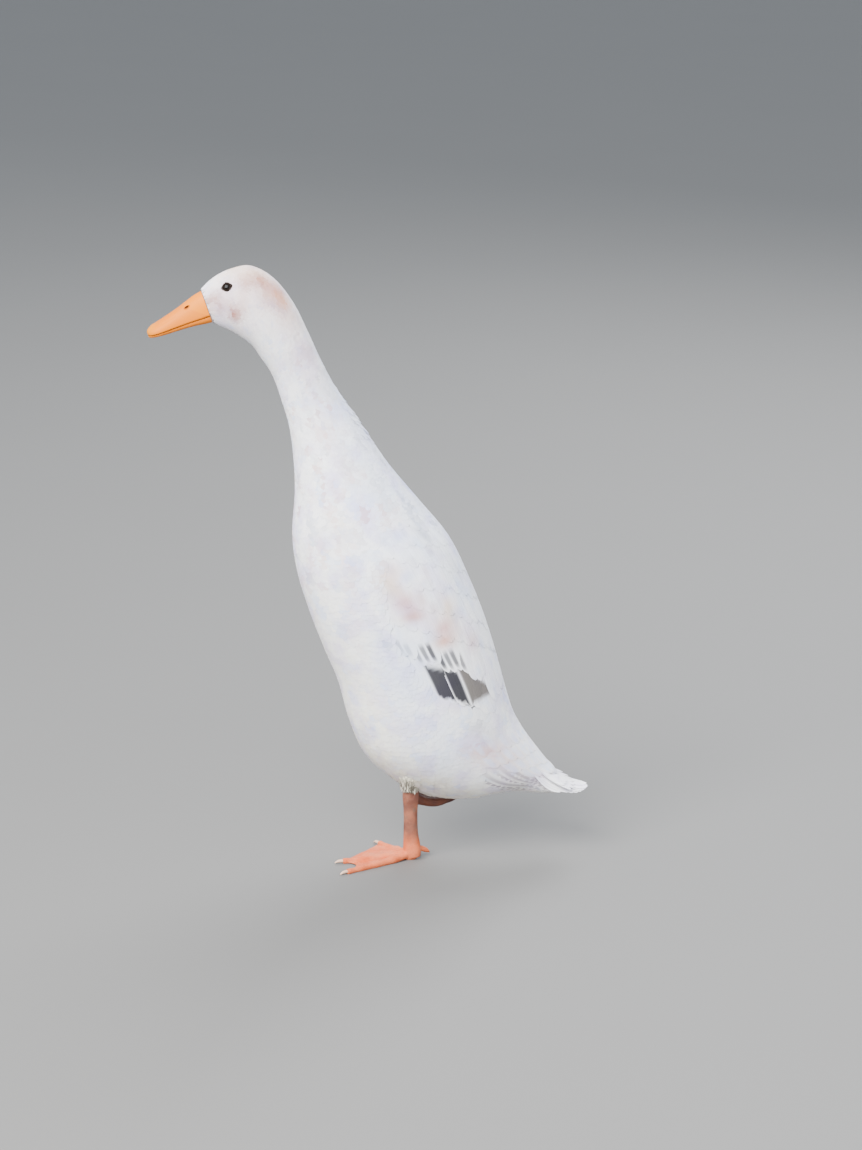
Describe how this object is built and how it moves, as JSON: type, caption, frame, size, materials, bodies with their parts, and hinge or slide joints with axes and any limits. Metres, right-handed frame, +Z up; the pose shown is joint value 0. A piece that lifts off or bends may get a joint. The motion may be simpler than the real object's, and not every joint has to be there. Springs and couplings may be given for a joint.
{
  "type": "indian runner duck",
  "caption": "Slim upright domestic duck standing on its left webbed foot with the right foot tucked up under the belly, with a long neck, folded wings of overlapping feathers and a short low tail.",
  "frame": {"origin": "on the floor, below the middle of the duck's length and width", "axes": "+Z up, bill to -X, the duck's left side to -Y"},
  "size_m": [0.4085, 0.1256, 0.5577],
  "materials": {
    "plumage": "soft white body feathers",
    "wing_feathers": "white flight and tail feathers with fawn and slate patches",
    "bill_horn": "satin orange horn",
    "leg_skin": "scaled salmon orange skin",
    "eye": "wet gloss"
  },
  "bodies": {
    "root": {"head": "plumage", "bill_upper": "bill_horn", "bill_lower": "bill_horn", "eye_left": "eye", "eye_right": "eye", "neck_upper": "plumage", "neck_lower": "plumage", "torso": "plumage", "wing_left": "wing_feathers", "wing_right": "wing_feathers", "tail": "wing_feathers", "thigh_left": "plumage", "shank_left": "leg_skin", "foot_left": "leg_skin", "foot_right": "leg_skin"}
  },
  "joints": []
}
